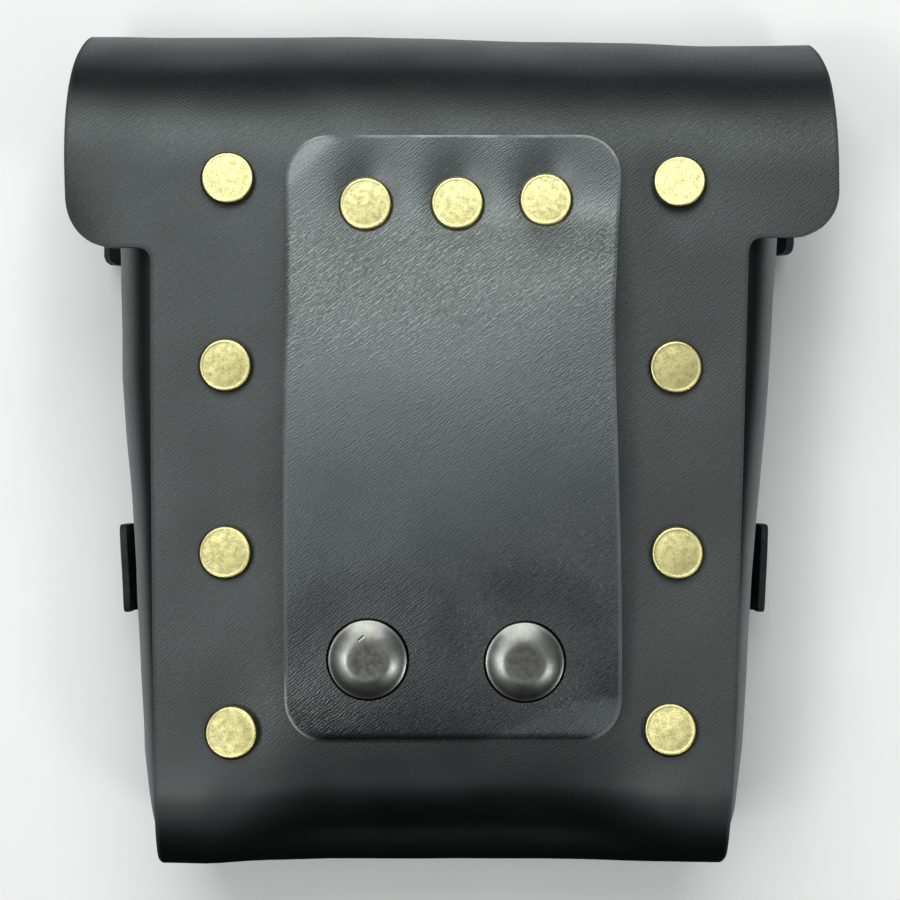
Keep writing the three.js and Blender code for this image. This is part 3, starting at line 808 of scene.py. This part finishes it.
def strap_outline(t, s):
    """A long strip with slightly rounded corners."""
    return rounded_box(t, s - STRAP_LONG / 2, STRAP_WIDTH / 2, STRAP_LONG / 2, 1.5)


def strap_face(t, s):
    """The path carried across the strap's width; past the body the ends turn a little."""
    x, z, _ = strap_at(s)
    spread = 0.05 * t * np.sign(x) * eased(np.abs(x), 50, 62)
    return np.stack([x - spread, STRAP_Y - t - MIDDLE, z], -1)


cell = 0.9
u, v, kept = cut_pattern(np.arange(-9.9, 10, cell), np.arange(-1.8, STRAP_LONG + 2, cell), strap_outline)
points, normals = facing(strap_face, u, v)
points = points - normals * (0.04 * ripples(u, v, 41, 17) ** 2)[..., None]
hide_piece(
    "front_strap_leather", "front_strap", points, np.stack([u, v], -1),
    np.maximum(-strap_outline(u, v), 0), 0.5, 1.0, kept, STRAP_THICK, [wall_skin, flesh, edge], 0.3,
)

# %% [markdown]
# ## Metal finishes
# The rivets are brass plated and have gone dull: bare spots gleam, the rest carries a patchy brown film,
# and a thin lacquer softens the whole. The snaps are gunmetal: a dark film with pits in the middle of the
# cap, worn brighter on the proud rim. The left cap has a small chip with a scratch beside it. Every turned
# piece carries the distance from its axis in millimetres, which places the rims and the middle.
# The outer foot of every rivet cap and snap cap is painted near black: a painted contact shadow where the
# metal meets the leather.

# %% Metal finishes
CHIP = (-15.05, -37.3)


def antique_brass(name):
    """Brass between a dull and a bright tone, with dark stains and a bright rim. The foot of the cap is
    painted near black, a painted contact shadow where it meets the leather.
    """
    metal = Finish(name)
    place = metal.node("TexCoord", {}, {}, out="Object")
    radius = metal.node("Attribute", {"attribute_name": "radius"}, {}, out="Fac")
    film = metal.noise(place, 850, 5, 0.75).between(0.33, 0.67)
    stains = metal.noise(place, 3600, 3, 0.6).between(0.48, 0.72)
    rim = radius.between(3.9, 4.5)
    bright, dull, dark = (0.50, 0.455, 0.185, 1), (0.33, 0.295, 0.10, 1), (0.09, 0.072, 0.03, 1)
    tone = metal.mix(film, dull, bright)
    tone = metal.mix(stains * (1 - film) * 0.7, tone, dark)
    tone = metal.mix(rim * 0.5, tone, bright)
    # Painted shadow: past 5 mm from the axis the cap is near black, for the contact shadow at the leather.
    tone = metal.mix(radius.between(5.0, 5.1), tone, (0.012, 0.010, 0.006, 1))
    return metal.done({
        "Base Color": tone, "Metallic": 1.0,
        "Roughness": 0.44 - film * 0.12 + stains * 0.12 - rim * 0.08,
        "Coat Weight": 0.8, "Coat Roughness": 0.30, "Coat IOR": 1.7,
        "Normal": metal.bump(film * 0.7 + stains * 0.3, 0.00002),
    })


def gunmetal(name):
    """Dark plating by the distance from the axis; its outer foot is painted near black, a painted contact
    shadow. The chip is an ellipse, and along and off are measured down the scratch and across it."""
    metal = Finish(name)
    place = metal.node("TexCoord", {}, {}, out="Object")
    radius = metal.node("Attribute", {"attribute_name": "radius"}, {}, out="Fac")
    film = metal.noise(place, 480, 4, 0.6).between(0.35, 0.7)
    pits = metal.noise(place, 900, 4, 0.6).between(0.30, 0.75)
    middle = radius.between(4.9, 2.2)
    rim = radius.between(6.9, 7.15)
    tone = metal.mix(film, (0.18, 0.183, 0.171, 1), (0.24, 0.243, 0.228, 1))
    tone = metal.mix(middle * (0.52 + pits * 0.42), tone, (0.05, 0.047, 0.042, 1))
    tone = metal.mix(rim * 0.8, tone, (0.24, 0.23, 0.21, 1))
    # Painted shadow: past 7.36 mm from the axis the cap is near black, for the contact shadow at the
    # leather.
    tone = metal.mix(radius.between(7.36, 7.44), tone, (0.008, 0.007, 0.005, 1))
    x = metal.node("SeparateXYZ", {}, {"Vector": place}, out="X") * 1000 - CHIP[0]
    y = metal.node("SeparateXYZ", {}, {"Vector": place}, out="Y") * 1000 - CHIP[1]
    chip = (x * x * 3.6 + y * y * 5.0 + pits * 0.9).between(1.7, 0.5)
    along = (x + 1.36) * 0.77 + y * 0.64
    off = y * 0.77 - (x + 1.36) * 0.64
    scratch = (along * along).between(0.65, 0.35)
    tone = metal.mix(scratch * ((off - 0.17) ** 2).between(0.04, 0.01), tone, (0.03, 0.03, 0.03, 1))
    tone = metal.mix(scratch * ((off + 0.15) ** 2).between(0.03, 0.01), tone, (0.36, 0.35, 0.33, 1))
    tone = metal.mix(chip * 0.9, tone, (0.31, 0.20, 0.095, 1))
    return metal.done({
        "Base Color": tone, "Metallic": 1.0,
        "Roughness": 0.30 + middle * (0.07 + pits * 0.04) - rim * 0.04,
        "Normal": metal.bump(pits * middle, 0.000006),
    })


brass = antique_brass("antique brass")
steel = gunmetal("gunmetal")
print("metal finishes:", brass.name, steel.name)

# %% [markdown]
# ## Turned pieces
# Rivets and snaps are round, so each one is a profile carried round an axis. The corners of a coarse
# profile are cut twice over, which rounds them as tumbling does. Every rivet leans its own way a
# little, as hand-set rivets do.

# %% Turned pieces
def softened(profile, times=2):
    """Corner cutting: each stretch between two points is replaced by its points at 1/4 and 3/4."""
    line = np.array(profile, float)
    for _ in range(times):
        a, b = line[:-1], line[1:]
        cut = np.stack([0.75 * a + 0.25 * b, 0.25 * a + 0.75 * b], 1).reshape(-1, 2)
        line = np.concatenate([line[:1], cut, line[-1:]])
    return line


def turned_piece(name, node, skin, profile, place, lean=(0, 0), steps=64):
    """x = r cos t, y = r sin t, z = h for each point (r, h) of the profile, which starts and ends on
    the axis, where fans close it. Then the piece turns so that its axis points along (lean, 1)."""
    line = softened(profile)
    ring = line[1:-1]
    t = np.arange(steps) * 2 * np.pi / steps
    around = np.stack([np.cos(t), np.sin(t)], -1)
    points = np.concatenate([
        ring[:, None, :1] * around, np.broadcast_to(ring[:, None, 1:], (len(ring), steps, 1)),
    ], -1).reshape(-1, 3)
    points = np.concatenate([points, [[0, 0, line[0, 1]], [0, 0, line[-1, 1]]]])
    index = np.arange(len(ring) * steps).reshape(len(ring), steps)
    after = np.roll(index, -1, 1)
    quads = np.stack([index[:-1], after[:-1], after[1:], index[1:]], -1).reshape(-1, 4)
    low = np.stack([after[0], index[0], np.full(steps, index.size)], -1)
    high = np.stack([index[-1], after[-1], np.full(steps, index.size + 1)], -1)
    radius = np.hypot(points[:, 0], points[:, 1])
    axis = np.array([lean[0], lean[1], 1.0])
    axis = axis / np.linalg.norm(axis)
    side = np.cross([0, 1, 0], axis)
    side = side / np.linalg.norm(side)
    points = points @ np.stack([side, np.cross(axis, side), axis]) + np.array(place)
    piece = new_piece(name, points, quads.tolist() + low.tolist() + high.tolist(), node)
    from_axis = piece.data.attributes.new("radius", "FLOAT", "POINT")
    from_axis.data.foreach_set("value", radius.astype(np.float32))
    piece.data.materials.append(skin)
    return piece


print("profile points after softening:", len(softened([(0, 0), (1, 0), (1, 1), (0, 1)])))

# %% [markdown]
# ## Rivets
# A rivet has a flat cap with a rolled edge outside, a shank through the leather and a thin cap inside.
# The caps of the back sit in the hollows that they have pressed into the leather. No holes are cut for
# the shanks here, because the caps cover the places where they pass through.

# %% Rivets
CAP = [
    (1.5, 0.0), (4.3, 0.0), (4.9, 0.0), (5.1, 0.3), (5.15, 0.9), (5.05, 1.35), (4.8, 1.72), (4.45, 1.82),
    (4.2, 1.76), (3.9, 1.76), (2.5, 1.86), (0, 1.9),
]


def rivet_profile(through):
    """From the middle of the inner cap round the shank to the middle of the outer cap."""
    return [(0, -through - 0.9), (3.4, -through - 0.8), (3.9, -through - 0.3), (3.7, -through),
            (1.5, -through)] + CAP


LEANS = {
    "left_1": (0.05, 0.16), "left_2": (0.02, 0.03), "left_3": (0.00, 0.09), "left_4": (-0.04, 0.09),
    "right_1": (-0.10, 0.20), "right_2": (0.00, 0.00), "right_3": (-0.02, 0.08), "right_4": (-0.03, 0.20),
}
THROUGH_BACK, THROUGH_FOLD, THROUGH_LOOP, SUNK = 4.4, 5.4, 5.0, 0.32
LOOP_LEANS = {"left": (-0.03, 0.05), "mid": (-0.03, 0.09), "right": (-0.03, 0.09)}
for name, (x, y) in BACK_RIVETS.items():
    deep = THROUGH_FOLD if y > FOLD_Y - 5 else THROUGH_BACK
    turned_piece(
        f"rivet_back_{name}", f"back_rivet_{name}", brass, rivet_profile(deep),
        (x, y - MIDDLE, BACK_Z - SUNK), LEANS[name],
    )
for name, (x, y) in LOOP_RIVETS.items():
    seat = float(loop_height(np.array(x), np.array(y)))
    turned_piece(
        f"rivet_loop_{name}", f"loop_rivet_{name}", brass, rivet_profile(THROUGH_LOOP),
        (x, y - MIDDLE, seat - 0.05), LOOP_LEANS[name],
    )
print("rivets of the back and the loop:", len(BACK_RIVETS) + len(LOOP_RIVETS))

# %% [markdown]
# ## Rivets of the front
# The rivets of the front are the same ones turned over: they hold the front flanges and the strap. Their
# points are turned in the mesh, by a minus on y and on z, so that the object itself stays unturned.

# %% Rivets of the front
FRONT_ROWS = [(27.1, FRONT_Z), (0.7, FRONT_Z), (STRAP_Y, STRAP_DIP), (-52.1, FRONT_Z)]
FRONT_RIVET_X, FLANGE_Z = 42.2, 9.0
for side, sign in (("left", -1), ("right", 1)):
    for row, (y, seat) in enumerate(FRONT_ROWS, 1):
        rivet = turned_piece(
            f"rivet_front_{side}_{row}", f"front_rivet_{side}_{row}", brass,
            rivet_profile(FLANGE_Z - seat), (0, 0, 0),
        )
        spots = np.empty(len(rivet.data.vertices) * 3)
        rivet.data.vertices.foreach_get("co", spots)
        place = np.array([sign * FRONT_RIVET_X, y - MIDDLE, seat - 0.1])
        spots = spots.reshape(-1, 3) * (1, -1, -1) + place * MM
        rivet.data.vertices.foreach_set("co", spots.ravel())
print("rivets of the front:", 2 * len(FRONT_ROWS))

# %% [markdown]
# ## Snaps
# The cap of a snap is pressed from sheet: a proud rim, a smooth ring that rises to a low dome, and a flat
# middle. It leans with the loop. A post joins it through the loop to the socket, which grips the stud on
# the back.

# %% Snaps
SNAP_CAP = [
    (2.4, 0.1), (6.6, 0.1), (7.5, 0.1), (7.7, 0.22), (7.6, 0.4), (7.42, 0.5), (7.4, 0.68), (7.25, 0.84),
    (7.0, 0.90), (6.7, 1.00), (6.2, 1.21), (5.6, 1.43), (5.0, 1.61), (4.4, 1.76), (3.9, 1.85), (3.4, 1.88),
    (1.8, 1.87), (0, 1.86),
]
SNAP_LEAN = (0.0, -0.05)
for name, (x, y) in SNAPS.items():
    seat = float(loop_height(np.array(x), np.array(y)))
    low, under = -SHELL_THICK, seat - SHELL_THICK
    turned_piece(
        f"snap_{name}", f"snap_cap_{name}", steel,
        [(0, low - 0.6), (2.1, low - 0.6), (2.1, low - 1.5), (5.5, low - 1.5), (5.9, low - 0.9),
         (5.9, low - 0.3), (2.4, low - 0.3)] + SNAP_CAP,
        (x, y - MIDDLE, seat + 0.05), SNAP_LEAN, steps=96,
    )
    inside = BACK_Z - SHELL_THICK - FIT
    turned_piece(
        f"stud_{name}", f"snap_stud_{name}", steel,
        [(0, inside - 1.0), (3.4, inside - 0.95), (4.1, inside - 0.6), (4.2, inside), (1.5, inside),
         (1.5, BACK_Z + 0.2), (4.3, BACK_Z + 0.2), (4.4, BACK_Z + 0.6), (1.8, BACK_Z + 0.8),
         (1.75, under - 1.0), (1.2, under - 0.8), (0, under - 0.8)],
        (x, y - MIDDLE, 0),
    )
print("snaps:", len(SNAPS))
